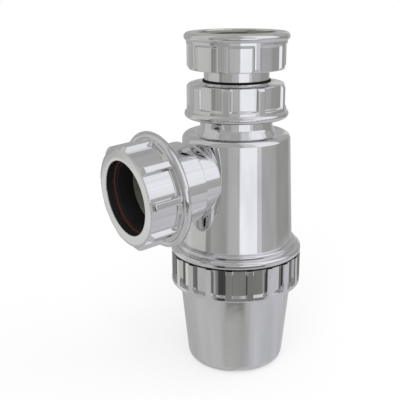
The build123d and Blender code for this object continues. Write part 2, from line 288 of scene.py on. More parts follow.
class StageLook(bpy.types.PropertyGroup):
    """The plain studio and the camera."""

    floor_colour: colour("Floor", "Colour of the floor", (1.0, 1.0, 1.0))
    camera_place: FloatVectorProperty(
        name="Camera Place", description="Where the camera stands", default=(-0.235996, -0.307121, 0.20865),
        size=3, unit="LENGTH", subtype="TRANSLATION", precision=5,
    )
    camera_lens: FloatProperty(
        name="Lens", description="Focal length on a 36 mm wide sensor", default=65.605, unit="CAMERA"
    )
    camera_heading: angle("Camera Heading", "Turn of the camera about the vertical", -34.61)
    camera_fall: angle("Camera Fall", "How far the camera looks down", 16.57)
    camera_roll: angle("Camera Roll", "Turn of the camera about its own view", -0.44)


SIZE_GROUPS = {
    "trap_pipe": PipeSizes,
    "trap_body": BodySizes,
    "trap_branch": BranchSizes,
    "trap_cup": CupSizes,
    "trap_coupling": CouplingNutSizes,
    "trap_outlet": OutletNutSizes,
    "trap_seals": SealSizes,
    "trap_finish": FinishLook,
    "trap_stage": StageLook,
}


# Profiles and meshes


def rounded(*corners):
    """Points along an outline of (radius, height) or (radius, height, rounding) corners."""
    points = []
    count = len(corners)
    for place, corner in enumerate(corners):
        here = np.array(corner[:2])
        radius = corner[2] if len(corner) == 3 else 0.0
        before = np.array(corners[place - 1][:2])
        after = np.array(corners[(place + 1) % count][:2])
        if radius == 0.0:
            points.append(tuple(here))
            continue
        back = (before - here) / np.linalg.norm(before - here)
        ahead = (after - here) / np.linalg.norm(after - here)
        half = np.arccos(np.clip(back @ ahead, -1, 1)) / 2
        middle = (back + ahead) / np.linalg.norm(back + ahead)
        centre = here + middle * radius / sin(half)
        start = here + back * radius / tan(half) - centre
        end = here + ahead * radius / tan(half) - centre
        first = atan2(start[1], start[0])
        sweep = (atan2(end[1], end[0]) - first + pi) % (2 * pi) - pi
        for step in range(ROUND_STEPS + 1):
            at = first + sweep * step / ROUND_STEPS
            points.append((centre[0] + radius * cos(at), centre[1] + radius * sin(at)))
    return points


def grid_mesh(name, rows, closed_rows, closed_columns):
    """A mesh from rows of points, where a row may be one single point."""
    vertices = []
    starts = []
    for row in rows:
        starts.append(len(vertices))
        vertices.extend(row)
    faces = []
    pairs = list(zip(range(len(rows) - 1), range(1, len(rows))))
    if closed_rows:
        pairs.append((len(rows) - 1, 0))
    for low, high in pairs:
        low_count = len(rows[low])
        high_count = len(rows[high])
        columns = max(low_count, high_count)
        last = columns if closed_columns else columns - 1
        for column in range(last):
            after = (column + 1) % columns
            corners = [
                starts[low] + (column if low_count > 1 else 0),
                starts[low] + (after if low_count > 1 else 0),
                starts[high] + (after if high_count > 1 else 0),
                starts[high] + (column if high_count > 1 else 0),
            ]
            unique = list(dict.fromkeys(corners))
            if len(unique) > 2:
                faces.append(unique)
    mesh = bpy.data.meshes.new(name)
    mesh.from_pydata(vertices, [], faces)
    mesh.update()
    return mesh


def ring_outline(inner, outer, low, high, edge=0.0):
    """The outline of a flat ring with its four edges rounded."""
    return rounded((inner, low, edge), (outer, low, edge), (outer, high, edge), (inner, high, edge))


def turned_row(radius, height, turns):
    """Points at one radius and height, one for each turn about Z."""
    return [(radius * cos(turn), radius * sin(turn), height) for turn in turns]


def turned_mesh(name, outline):
    """A closed mesh turned about Z from an outline of (radius, height) points."""
    turns = [2 * pi * step / TURN_STEPS for step in range(TURN_STEPS)]
    rows = []
    for radius, height in outline:
        if radius < SEAM:
            rows.append([(0.0, 0.0, height)])
        else:
            rows.append(turned_row(radius, height, turns))
    return grid_mesh(name, rows, True, True)


def finished_mesh(mesh, place=None):
    """Merges doubles, points the faces outwards, shades smooth and moves the mesh to its place."""
    work = bmesh.new()
    work.from_mesh(mesh)
    bmesh.ops.remove_doubles(work, verts=work.verts, dist=SEAM)
    bmesh.ops.recalc_face_normals(work, faces=work.faces)
    work.to_mesh(mesh)
    work.free()
    if place is not None:
        mesh.transform(place)
    mesh.shade_smooth()
    mesh.set_sharp_from_angle(angle=SHARP_ANGLE)
    return evenly_shaded(mesh)


def evenly_shaded(mesh):
    """The mesh with its normals weighted by face area, so that rounded edges don't bend flats."""
    work = new_object("evenly_shaded", mesh)
    weighting = work.modifiers.new("Even Shading", "WEIGHTED_NORMAL")
    weighting.mode = "FACE_AREA"
    weighting.weight = 50
    weighting.keep_sharp = True
    shaded = plain_copy(work)
    shaded.name = mesh.name
    bpy.data.objects.remove(work)
    return shaded


def new_object(name, mesh):
    """An object at the origin, linked to the scene."""
    piece = bpy.data.objects.new(name, mesh)
    bpy.context.scene.collection.objects.link(piece)
    return piece


def put_on(piece, body, slot, material, *nodes):
    """Gives a finished piece its material and its body, and hides the CAD nodes it stands for; the slot is
    not used.
    """
    piece.data.materials.clear()
    piece.data.materials.append(material)
    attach(piece, body)
    if nodes:
        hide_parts(*nodes)
    return piece


def joined(kept, other, operation):
    """The first object's mesh after a boolean with the second, which is removed."""
    modifier = kept.modifiers.new("Join", "BOOLEAN")
    modifier.operation = operation
    modifier.solver = "EXACT"
    modifier.object = other
    shaped = plain_copy(kept)
    kept.modifiers.clear()
    kept.data = shaped
    bpy.data.objects.remove(other)
    return kept


def plain_copy(piece):
    """A plain mesh of an object with its modifiers applied."""
    bpy.context.view_layer.update()
    graph = bpy.context.evaluated_depsgraph_get()
    return bpy.data.meshes.new_from_object(piece.evaluated_get(graph))


def branch_place():
    """The outlet's frame: Z out along the falling outlet, X upwards."""
    up = Vector((-sin(OUTLET_FALL), 0.0, cos(OUTLET_FALL)))
    out = Vector((-cos(OUTLET_FALL), 0.0, -sin(OUTLET_FALL)))
    side = out.cross(up)
    turn = Matrix((up, side, out)).transposed().to_4x4()
    return Matrix.Translation((0.0, 0.0, OUTLET_HEIGHT)) @ turn


def outlet_nut_place():
    """The outlet nut's frame: its front face at Z = 0 and Z back towards the trap's axis."""
    return branch_place() @ Matrix.Translation((0.0, 0.0, OUTLET_NUT_FRONT)) @ Matrix.Diagonal((1, -1, -1, 1))


# Geometry Nodes trees


class TreeMaker:
    """Adds nodes and links to a node tree, one call each."""

    def __init__(self, tree):
        self.tree = tree

    def add(self, kind, inputs=None, **settings):
        node = self.tree.nodes.new(kind)
        for key, value in settings.items():
            setattr(node, key, value)
        for key, value in (inputs or {}).items():
            self.feed(node, key, value)
        return node

    def feed(self, node, key, value):
        socket = node.inputs[key]
        if isinstance(value, bpy.types.NodeSocket):
            self.tree.links.new(value, socket)
        else:
            socket.default_value = value

    def math(self, operation, *values):
        node = self.tree.nodes.new("ShaderNodeMath")
        node.operation = operation
        for place, value in enumerate(values):
            self.feed(node, place, value)
        return node.outputs[0]


def new_tree(name, sockets):
    """A Geometry Nodes tree with a mesh going in and out and named inputs for its sizes."""
    tree = bpy.data.node_groups.new(name, "GeometryNodeTree")
    tree.interface.new_socket("Geometry", in_out="INPUT", socket_type="NodeSocketGeometry")
    for socket_name, kind in sockets:
        tree.interface.new_socket(socket_name, in_out="INPUT", socket_type=kind)
    tree.interface.new_socket("Geometry", in_out="OUTPUT", socket_type="NodeSocketGeometry")
    maker = TreeMaker(tree)
    given = maker.add("NodeGroupInput")
    result = maker.add("NodeGroupOutput")
    return maker, given, result


def ribs_round_tree():
    """Copies of one sector set round Z and welded into one ribbed shell."""
    name = "Ribs Round"
    if name in bpy.data.node_groups:
        return bpy.data.node_groups[name]
    sockets = [
        ("Rib Count", "NodeSocketInt"),
        ("Seam", "NodeSocketFloat"),
        ("Finish", "NodeSocketMaterial"),
    ]
    maker, given, result = new_tree(name, sockets)
    count = given.outputs["Rib Count"]
    points = maker.add("GeometryNodeMeshLine", {"Count": count, "Offset": (0.0, 0.0, 0.0)})
    index = maker.add("GeometryNodeInputIndex").outputs[0]
    pitch = maker.math("DIVIDE", 2 * pi, count)
    turn = maker.math("MULTIPLY", index, pitch)
    euler = maker.add("ShaderNodeCombineXYZ", {"Z": turn}).outputs[0]
    rotation = maker.add("FunctionNodeEulerToRotation", {0: euler}).outputs[0]
    copies = maker.add(
        "GeometryNodeInstanceOnPoints",
        {"Points": points.outputs[0], "Instance": given.outputs["Geometry"], "Rotation": rotation},
    )
    real = maker.add("GeometryNodeRealizeInstances", {0: copies.outputs[0]})
    seam = given.outputs["Seam"]
    finish = given.outputs["Finish"]
    welded = maker.add("GeometryNodeMergeByDistance", {0: real.outputs[0], "Distance": seam})
    painted = maker.add("GeometryNodeSetMaterial", {0: welded.outputs[0], "Material": finish})
    maker.tree.links.new(painted.outputs[0], result.inputs[0])
    return maker.tree


def thread_tree():
    """A screw thread: a V-shaped ridge swept along a helix about Z."""
    name = "Screw Thread"
    if name in bpy.data.node_groups:
        return bpy.data.node_groups[name]
    sockets = [
        ("Root Radius", "NodeSocketFloat"),
        ("Pitch", "NodeSocketFloat"),
        ("Turns", "NodeSocketFloat"),
        ("Ridge Height", "NodeSocketFloat"),
        ("Ridge Half Width", "NodeSocketFloat"),
        ("Steps", "NodeSocketInt"),
        ("Finish", "NodeSocketMaterial"),
    ]
    maker, given, result = new_tree(name, sockets)
    rise = maker.math("MULTIPLY", given.outputs["Pitch"], given.outputs["Turns"])
    helix = maker.add(
        "GeometryNodeCurveSpiral",
        {
            "Resolution": given.outputs["Steps"],
            "Rotations": given.outputs["Turns"],
            "Start Radius": given.outputs["Root Radius"],
            "End Radius": given.outputs["Root Radius"],
            "Height": rise,
        },
    )
    upright = maker.add("GeometryNodeSetCurveNormal", {0: helix.outputs[0]}, mode="Z_UP")
    ridge = maker.add("GeometryNodeCurvePrimitiveCircle", {"Resolution": 4, "Radius": 1.0})
    size = maker.add(
        "ShaderNodeCombineXYZ",
        {"X": given.outputs["Ridge Height"], "Y": given.outputs["Ridge Half Width"], "Z": 1.0},
    )
    shaped = maker.add("GeometryNodeTransform", {"Geometry": ridge.outputs[0], "Scale": size.outputs[0]})
    swept = maker.add(
        "GeometryNodeCurveToMesh",
        {"Curve": upright.outputs[0], "Profile Curve": shaped.outputs[0], "Fill Caps": True},
    )
    real = maker.add("GeometryNodeRealizeInstances", {0: swept.outputs[0]})
    painted = maker.add("GeometryNodeSetMaterial", {0: real.outputs[0], "Material": given.outputs["Finish"]})
    maker.tree.links.new(painted.outputs[0], result.inputs[0])
    return maker.tree


def grown_mesh(name, start_mesh, tree, values):
    """The plain mesh that a Geometry Nodes tree makes from a starting mesh and named values."""
    work = new_object(name, start_mesh)
    modifier = work.modifiers.new(tree.name, "NODES")
    modifier.node_group = tree
    for item in tree.interface.items_tree:
        if item.item_type == "SOCKET" and item.in_out == "INPUT" and item.name in values:
            modifier[item.identifier] = values[item.name]
    mesh = plain_copy(work)
    mesh.name = name
    bpy.data.objects.remove(work)
    return mesh


# Shader node groups and materials


def shader_group(name, inputs, outputs):
    """A shader node group with named inputs and outputs."""
    tree = bpy.data.node_groups.new(name, "ShaderNodeTree")
    for socket_name, kind, default in inputs:
        socket = tree.interface.new_socket(socket_name, in_out="INPUT", socket_type=kind)
        socket.default_value = default
    for socket_name, kind in outputs:
        tree.interface.new_socket(socket_name, in_out="OUTPUT", socket_type=kind)
    maker = TreeMaker(tree)
    return maker, maker.add("NodeGroupInput"), maker.add("NodeGroupOutput")


def surface_wear_group():
    """Slow haze, fine grain and hairline scratches over a surface."""
    name = "Surface Wear"
    if name in bpy.data.node_groups:
        return bpy.data.node_groups[name]
    maker, given, result = shader_group(
        name,
        [
            ("Point", "NodeSocketVector", (0.0, 0.0, 0.0)),
            ("Haze Scale", "NodeSocketFloat", 40.0),
            ("Grain Scale", "NodeSocketFloat", 900.0),
            ("Roughness Low", "NodeSocketFloat", 0.03),
            ("Roughness High", "NodeSocketFloat", 0.08),
            ("Scratch Roughness", "NodeSocketFloat", 0.04),
        ],
        [("Roughness", "NodeSocketFloat"), ("Height", "NodeSocketFloat"), ("Haze", "NodeSocketFloat")],
    )
    point = given.outputs["Point"]
    haze_scale = given.outputs["Haze Scale"]
    grain_scale = given.outputs["Grain Scale"]
    haze = maker.add("ShaderNodeTexNoise", {"Vector": point, "Scale": haze_scale, "Detail": 4.0})
    grain = maker.add("ShaderNodeTexNoise", {"Vector": point, "Scale": grain_scale, "Detail": 2.0})
    stretched = maker.add(
        "ShaderNodeMapping", {"Vector": point, "Rotation": (0.3, 0.5, 0.9), "Scale": (60.0, 900.0, 1400.0)}
    )
    hair = maker.add("ShaderNodeTexNoise", {"Vector": stretched.outputs[0], "Scale": 1.0, "Detail": 2.0})
    lines = maker.add(
        "ShaderNodeMapRange",
        {"Value": hair.outputs[0], "From Min": 0.66, "From Max": 0.74, "To Min": 0.0, "To Max": 1.0},
    )
    spread = maker.add(
        "ShaderNodeMapRange",
        {
            "Value": haze.outputs[0],
            "From Min": 0.3,
            "From Max": 0.7,
            "To Min": given.outputs["Roughness Low"],
            "To Max": given.outputs["Roughness High"],
        },
    )
    scratch = maker.math("MULTIPLY", lines.outputs[0], given.outputs["Scratch Roughness"])
    rough = maker.math("ADD", spread.outputs[0], scratch)
    maker.tree.links.new(rough, result.inputs["Roughness"])
    maker.tree.links.new(grain.outputs[0], result.inputs["Height"])
    maker.tree.links.new(haze.outputs[0], result.inputs["Haze"])
    return maker.tree


def worn_material(name, base, roughness, bump, scales, tint):
    """A Principled material with its colour, roughness and bump taken from the wear group."""
    material = bpy.data.materials.new(name)
    material.use_nodes = True
    tree = material.node_tree
    tree.nodes.clear()
    maker = TreeMaker(tree)
    point = maker.add("ShaderNodeTexCoord").outputs["Object"]
    wear = maker.add("ShaderNodeGroup", node_tree=surface_wear_group())
    low, high, scratch = roughness
    haze_scale, grain_scale = scales
    maker.feed(wear, "Point", point)
    maker.feed(wear, "Haze Scale", haze_scale)
    maker.feed(wear, "Grain Scale", grain_scale)
    maker.feed(wear, "Roughness Low", low)
    maker.feed(wear, "Roughness High", high)
    maker.feed(wear, "Scratch Roughness", scratch)
    shade = maker.add(
        "ShaderNodeMix",
        {
            "Factor": wear.outputs["Haze"],
            6: (*[value * (1 - tint) for value in base], 1.0),
            7: (*[min(1.0, value * (1 + tint)) for value in base], 1.0),
        },
        data_type="RGBA",
    )
    relief = maker.add(
        "ShaderNodeBump", {"Height": wear.outputs["Height"], "Strength": bump[0], "Distance": bump[1]}
    )
    surface = maker.add(
        "ShaderNodeBsdfPrincipled",
        {
            "Base Color": shade.outputs[2],
            "Roughness": wear.outputs["Roughness"],
            "Normal": relief.outputs[0],
        },
    )
    out = maker.add("ShaderNodeOutputMaterial")
    tree.links.new(surface.outputs[0], out.inputs["Surface"])
    return material, surface


def chrome_plating():
    """Bright plating with a little haze, orange peel and hairlines."""
    name = "Chrome Plating"
    if name in bpy.data.materials:
        return bpy.data.materials[name]
    look = bpy.context.scene.trap_finish
    mean = look.chrome_haze
    material, surface = worn_material(
        name, look.chrome, roughness=(mean * 0.7, mean * 1.4, 0.03),
        bump=(0.4, 0.00005), scales=(35.0, 110.0), tint=0.015,
    )
    surface.inputs["Metallic"].default_value = 1.0
    return material


def moulding(name, base, roughness, bump, scales, tint, shine):
    """A rubber or plastic finish, made once and then found by its name."""
    if name in bpy.data.materials:
        return bpy.data.materials[name]
    material, surface = worn_material(name, base, roughness, bump, scales, tint)
    surface.inputs["Specular IOR Level"].default_value = shine
    return material


def black_rubber():
    """Matt moulded rubber with a fine grain."""
    return moulding(
        "Black Rubber", bpy.context.scene.trap_finish.rubber, roughness=(0.5, 0.7, 0.05),
        bump=(0.3, 0.0001), scales=(120.0, 2400.0), tint=0.3, shine=0.15,
    )


def black_plastic():
    """Satin black plastic with a faint moulding grain."""
    return moulding(
        "Black Plastic", bpy.context.scene.trap_finish.black_plastic, roughness=(0.38, 0.5, 0.08),
        bump=(0.12, 0.00008), scales=(70.0, 1500.0), tint=0.2, shine=0.4,
    )


def painted_bore_reflection():
    """Dull olive-grey plastic finish inside the bores, whose colour is a painted reflection."""
    return moulding(
        "Bare Moulding", bpy.context.scene.trap_finish.bore_reflection_colour, roughness=(0.30, 0.45, 0.08),
        bump=(0.12, 0.00008), scales=(70.0, 1500.0), tint=0.2, shine=0.5,
    )


def slip_ring_plastic():
    """Satin red-brown plastic with a faint moulding grain."""
    return moulding(
        "Slip Ring Plastic", bpy.context.scene.trap_finish.slip_ring, roughness=(0.34, 0.48, 0.08),
        bump=(0.15, 0.00008), scales=(90.0, 1800.0), tint=0.12, shine=0.5,
    )


# Ribbed shells


def soft_step(value):
    """A smooth rise from 0 to 1."""
    t = np.clip(value, 0.0, 1.0)
    return t * t * (3 - 2 * t)


def panel_mask(along, height, half_width, end, corner, flank):
    """0 in a panel with rounded far corners and 1 on the ribs round it, with soft flanks."""
    across = np.abs(along) - (half_width - corner)
    up = height - (end - corner)
    outside = np.hypot(np.maximum(across, 0.0), np.maximum(up, 0.0))
    inside = np.minimum(np.maximum(across, up), 0.0)
    distance = outside + inside - corner
    return soft_step((distance + flank) / flank)


def soft_minimum(first, second, blend):
    """The smaller of two values, with a rounded change-over."""
    h = np.clip(0.5 + 0.5 * (second - first) / blend, 0.0, 1.0)
    return second * (1 - h) + first * h - blend * h * (1 - h)


def nut_sector(name, nut, face_drop, thread_r):
    """One sector of a ribbed nut, from panel middle to panel middle, closed end at Z = 0."""
    pitch = 2 * pi / nut.rib_count
    turns = np.linspace(0.0, pitch, NUT_COLUMNS + 1)
    panel_r = nut.panel_radius
    rise = nut.rib_radius - panel_r
    half_width = (pitch * nut.rib_radius - nut.rib_width) / 2
    bead_round = nut.bead_round
    bead_centre_r = nut.bead_radius - bead_round
    bead_centre_z = nut.total_length - bead_round
    bead_start = -np.arccos((nut.rib_radius - bead_centre_r) / bead_round)
    junction = bead_centre_z + bead_round * sin(bead_start)
    # Small roundings and steps that all the nuts share
    edge = 0.0005
    blend = 0.0004
    lip = 0.0004
    lip_steps = 4
    bead_steps = 20
    mouth = 0.0008
    nick = 0.0002
    # The closed face has this share of its slope until it steepens near its rim
    slope_share = 0.93
    root_r = thread_r + bpy.context.scene.trap_pipe.thread_depth
    rows = []

    def ring_row(radius, height):
        rows.append(turned_row(radius, height, turns))

    opening = nut.opening_radius
    ring_row(opening, nut.closed_wall - lip)
    ring_row(opening, lip)
    for step in range(1, lip_steps + 1):
        at = pi / 2 * step / lip_steps
        ring_row(opening + lip * (1 - cos(at)), lip * (1 - sin(at)))
    for share in (0.25, 0.5, 0.75, 0.9):
        radius = opening + lip + (panel_r - edge - opening - lip) * share
        ring_row(radius, face_drop * share * slope_share)
    # Rows stand closer where the ribs rise and at the panels' far corners
    panel_end = nut.panel_length - face_drop
    chamfer_end = nut.rib_chamfer + 0.0012
    corner_start = panel_end - 0.0034
    corner_end = panel_end + 0.0006
    heights = np.concatenate(
        [
            np.linspace(0.0, chamfer_end, 16)[1:],
            np.linspace(chamfer_end, corner_start, 8)[1:],
            np.linspace(corner_start, corner_end, 22)[1:],
            np.linspace(corner_end, junction - face_drop, 4)[1:],
        ]
    )
    middle = pitch / 2
    for above in heights:
        height = face_drop + above
        arcs = np.minimum(turns, pitch - turns) * nut.rib_radius
        mask = panel_mask(arcs, height, half_width, nut.panel_length, nut.panel_round, nut.rib_flank)
        limit = rise * above / nut.rib_chamfer
        raised = soft_minimum(mask * rise, limit, blend)
        round_in = edge * (1 - sqrt(max(0.0, 1 - max(0.0, 1 - above / edge) ** 2)))
        radii = panel_r + np.maximum(raised, 0.0) - round_in
        rows.append([(r * cos(t), r * sin(t), height) for r, t in zip(radii, turns)])
    for step in range(1, bead_steps + 1):
        at = bead_start + (pi / 2 - bead_start) * step / bead_steps
        ring_row(bead_centre_r + bead_round * cos(at), bead_centre_z + bead_round * sin(at))
    ring_row(thread_r + mouth + nick, nut.total_length)
    ring_row(thread_r + mouth, nut.total_length - nick / 2)
    ring_row(root_r, nut.total_length - mouth + nick)
    relief_top = nut.closed_wall + nut.relief_length
    ring_row(root_r, relief_top + 2 * nick)
    ring_row(root_r + nick, relief_top)
    ring_row(root_r + nick, nut.closed_wall)
    ring_row(opening + lip, nut.closed_wall)
    return grid_mesh(name, rows, True, False), middle


def ribbed_nut(name, nut, face_drop, thread_r, turn, place):
    """A whole nut with a rib at the angle turn, moved to its place."""
    sector, middle = nut_sector(name, nut, face_drop, thread_r)
    sector.transform(Matrix.Rotation(turn - middle, 4, "Z"))
    values = {"Rib Count": nut.rib_count, "Seam": SEAM, "Finish": chrome_plating()}
    whole = grown_mesh(name, sector, ribs_round_tree(), values)
    return finished_mesh(whole, place)


def lining_ring(name, radius, low, high, place):
    """A skin inside a round opening, half sunk in its wall."""
    outline = ring_outline(radius - LINING_SKIN, radius + LINING_SKIN, low, high)
    return new_object(name, finished_mesh(turned_mesh(name, outline), place))


def cup_sector(name):
    """One sector of the cup with half a pocket, a rib and half a pocket of its grip ring."""
    cup = bpy.context.scene.trap_cup
    pipe = bpy.context.scene.trap_pipe
    body = bpy.context.scene.trap_body
    pitch = 2 * pi / cup.rib_count
    half_pocket = (pitch * cup.ring_radius - cup.rib_width) / 2
    edge = half_pocket / cup.ring_radius
    near = 0.0004 / cup.ring_radius
    left = np.concatenate([np.linspace(0.0, edge - near, 6), np.linspace(edge - near, edge + near, 8)[1:]])
    turns = np.concatenate([left, [pitch / 2], (pitch - left)[::-1]])
    slope = tan(cup.taper)
    ring_foot = cup.base_radius + cup.ring_low * slope
    ledge_r = cup.base_radius + cup.ledge * slope - cup.wall
    floor_r = cup.base_radius - cup.wall
    top_round = cup.ring_top_round
    top_steps = 4
    pocket_top = cup.pocket_low + cup.pocket_rise
    mouth_wide = 0.0004
    mouth_deep = 0.0006
    root = body.skirt_radius + pipe.turn_gap + pipe.thread_depth
    arcs = np.minimum(turns, pitch - turns) * cup.ring_radius
    rows = [[(0.0, 0.0, 0.0)]]

    def ring_row(radius, height):
        rows.append(turned_row(radius, height, turns))

    def ring_wall(height, inset):
        above = height - cup.pocket_low
        depth_share = soft_step((half_pocket - arcs) / cup.pocket_flank + 0.5)
        pocket = cup.pocket_depth * depth_share * soft_step(above / cup.pocket_rise)
        radii = cup.ring_radius - pocket - inset
        upward = above / (cup.ring_high - cup.pocket_low)
        sunk = cup.pocket_undercut * pocket / cup.pocket_depth * (1 - upward)
        rows.append([(r * cos(t), r * sin(t), height - z) for r, t, z in zip(radii, turns, sunk)])

    base = rounded(
        (0.0, 0.0), (cup.base_radius, 0.0, cup.base_round),
        (ring_foot, cup.ring_low, cup.ring_foot_round),
        (cup.ring_radius, cup.ring_low, cup.ring_low_round), (cup.ring_radius, cup.ring_high),
        (0.0, cup.ring_high),
    )[1:-2]
    for radius, height in base:
        ring_row(radius, height)
    walls = np.concatenate(
        [
            np.linspace(cup.ring_low + cup.ring_low_round, cup.pocket_low, 3)[1:],
            np.linspace(cup.pocket_low, pocket_top, 8)[1:],
            np.linspace(pocket_top, cup.ring_high - top_round, 5)[1:],
        ]
    )
    for height in walls:
        ring_wall(height, 0.0)
    for step in range(1, top_steps + 1):
        at = pi / 2 * step / top_steps
        ring_wall(cup.ring_high - top_round * (1 - sin(at)), top_round * (1 - cos(at)))
    inside = rounded(
        (root + mouth_wide, cup.ring_high), (root, cup.ring_high - mouth_deep), (root, cup.ledge),
        (ledge_r, cup.ledge), (floor_r, cup.floor, cup.floor_round),
        (0.0, cup.floor), (0.0, cup.ring_high),
    )[:-2]
    for radius, height in inside:
        ring_row(radius, height)
    rows.append([(0.0, 0.0, cup.floor)])
    return grid_mesh(name, rows, False, False), pitch / 2


# Operators, one for each piece or group of like pieces


class TRAP_OT_body(bpy.types.Operator):
    """Build the barrel with its flange, shoulder, neck and outlet branch"""

    bl_idname = "trap.body"
    bl_label = "Body"

    def execute(self, context):
        self.barrel(context.scene)
        self.branch(context.scene)
        self.bore(context.scene)
        return {"FINISHED"}

    def barrel(self, scene):
        """The barrel, flange, shoulder and neck, open where the branch begins."""
        body = scene.trap_body
        branch = scene.trap_branch
        pipe = scene.trap_pipe
        bore_r = pipe.bore_radius
        neck_r = bore_r + body.neck_wall
        male_root = pipe.thread_radius - pipe.turn_gap - pipe.thread_depth
        skirt_root = body.skirt_radius - pipe.thread_depth
        skirt_bore = body.skirt_radius - body.wall
        flange_top = body.flange_low + body.flange_thickness
        step_top = flange_top + body.step_thickness
        crease_r = body.barrel_top_radius - body.crease_in
        crease_foot = body.barrel_top - body.crease
        flare_top = body.barrel_top + body.flare_height
        mouth = body.mouth_chamfer
        roof = body.barrel_top - body.wall
        edge = 0.0003
        wide_edge = 0.0004
        fillet = 0.0002
        shell = rounded(
            (bore_r, roof), (bore_r, body.socket_top - mouth), (bore_r + mouth, body.socket_top),
            (male_root, body.socket_top, edge), (male_root, body.socket_low + mouth),
            (neck_r, body.socket_low, edge), (neck_r, flare_top, body.flare_round),
            (crease_r, crease_foot), (crease_r + body.crease, body.barrel_top, edge),
            (body.barrel_top_radius, body.barrel_top + body.rim_rise, body.shoulder_round),
            (body.barrel_low_radius, step_top, wide_edge), (body.step_radius, step_top, body.step_round),
            (body.step_radius, flange_top, fillet),
            (body.flange_radius, flange_top, body.flange_top_round),
            (body.flange_radius, body.flange_low, body.flange_low_round), (skirt_root, body.flange_low),
            (skirt_root, body.skirt_low, wide_edge), (skirt_bore, body.skirt_low),
            (body.barrel_low_radius - body.wall, step_top),
            (body.barrel_top_radius - body.wall, roof, body.roof_round),
        )
        barrel = new_object("trap_barrel", finished_mesh(turned_mesh("trap_barrel", shell)))
        opening = rounded(
            (0.0, branch.opening_start), (branch.opening_radius, branch.opening_start),
            (branch.opening_radius, branch.opening_end), (0.0, branch.opening_end),
        )
        cutter = new_object("opening", finished_mesh(turned_mesh("opening", opening), branch_place()))
        barrel = joined(barrel, cutter, "DIFFERENCE")
        barrel.data = finished_mesh(barrel.data)
        put_on(barrel, "trap_body", "chrome_plating", chrome_plating(), "body")

    def branch(self, scene):
        """The outlet branch, cut to the barrel's inside."""
        body = scene.trap_body
        branch = scene.trap_branch
        pipe = scene.trap_pipe
        bore_r = pipe.bore_radius
        branch_r = pipe.pipe_radius + branch.wall
        root = pipe.outlet_thread_radius - pipe.turn_gap - pipe.thread_depth
        edge = 0.0003
        rim_round = 0.0004
        outline = rounded(
            (branch.waterway_radius, branch.start), (branch_r, branch.start),
            (branch_r, branch.collar_start, edge),
            (branch.collar_radius, branch.collar_start, branch.collar_round),
            (branch.collar_radius, branch.thread_start, edge), (root, branch.thread_start),
            (root, branch.socket_end, rim_round), (bore_r + branch.mouth_lead, branch.socket_end),
            (bore_r, branch.socket_end - branch.mouth_lead), (bore_r, branch.pipe_stop),
            (branch.waterway_radius, branch.pipe_stop),
        )
        mesh = finished_mesh(turned_mesh("outlet_branch", outline), branch_place())
        piece = new_object("outlet_branch", mesh)
        step_top = body.flange_low + body.flange_thickness + body.step_thickness
        roof = body.barrel_top - body.wall
        cavity = rounded(
            (0.0, step_top), (body.barrel_low_radius - body.wall, step_top),
            (body.barrel_top_radius - body.wall, roof, body.roof_round), (0.0, roof),
        )
        hollow = new_object("hollow", finished_mesh(turned_mesh("hollow", cavity)))
        piece = joined(piece, hollow, "DIFFERENCE")
        piece.data = finished_mesh(piece.data)
        put_on(piece, "trap_body", "chrome_plating", chrome_plating())

    def bore(self, scene):
        """The skin inside the branch, whose olive-grey is a painted reflection."""
        branch = scene.trap_branch
        bore_r = scene.trap_pipe.bore_radius
        waterway_r = branch.waterway_radius
        skin = LINING_SKIN
        lining = rounded(
            (waterway_r - skin, branch.lining_start), (waterway_r + skin, branch.lining_start),
            (waterway_r + skin, branch.pipe_stop - skin), (bore_r + skin, branch.pipe_stop - skin),
            (bore_r + skin, branch.sleeve_start), (bore_r - skin, branch.sleeve_start),
            (bore_r - skin, branch.pipe_stop + skin), (waterway_r - skin, branch.pipe_stop + skin),
        )
        piece = new_object("outlet_bore", finished_mesh(turned_mesh("outlet_bore", lining), branch_place()))
        put_on(piece, "trap_body", "black_plastic", painted_bore_reflection())


class TRAP_OT_dip_tube(bpy.types.Operator):
    """Build the plain tube that dips into the cup"""

    bl_idname = "trap.dip_tube"
    bl_label = "Dip Tube"

    def execute(self, context):
        body = context.scene.trap_body
        bore_r = context.scene.trap_pipe.bore_radius
        outer = bore_r + body.dip_wall
        low_bore = bore_r - body.dip_step
        low_outer = low_bore + body.dip_wall
        taper_top = body.dip_stop - body.dip_taper
        roof = body.barrel_top - body.wall
        inner_edge = 0.0003
        outer_edge = 0.0005
        outline = rounded(
            (low_bore, body.dip_low, inner_edge), (low_outer, body.dip_low, outer_edge),
            (low_outer, taper_top - body.dip_taper), (outer, taper_top), (outer, roof), (bore_r, roof),
            (bore_r, body.dip_stop), (low_bore, body.dip_stop, inner_edge),
        )
        piece = new_object("dip_pipe", finished_mesh(turned_mesh("dip_pipe", outline)))
        put_on(piece, "trap_body", "black_plastic", black_plastic(), "dip_tube")
        return {"FINISHED"}


class TRAP_OT_cup(bpy.types.Operator):
    """Build the cup with its ribbed grip ring"""

    bl_idname = "trap.cup"
    bl_label = "Cup"

    def execute(self, context):
        cup = context.scene.trap_cup
        sector, middle = cup_sector("cup_sector")
        sector.transform(Matrix.Rotation(cup.rib_turn - middle, 4, "Z"))
        values = {"Rib Count": cup.rib_count, "Seam": SEAM, "Finish": chrome_plating()}
        whole = grown_mesh("grip_cup", sector, ribs_round_tree(), values)
        piece = new_object("grip_cup", finished_mesh(whole))
        put_on(piece, "cup", "chrome_plating", chrome_plating(), "cup")
        return {"FINISHED"}


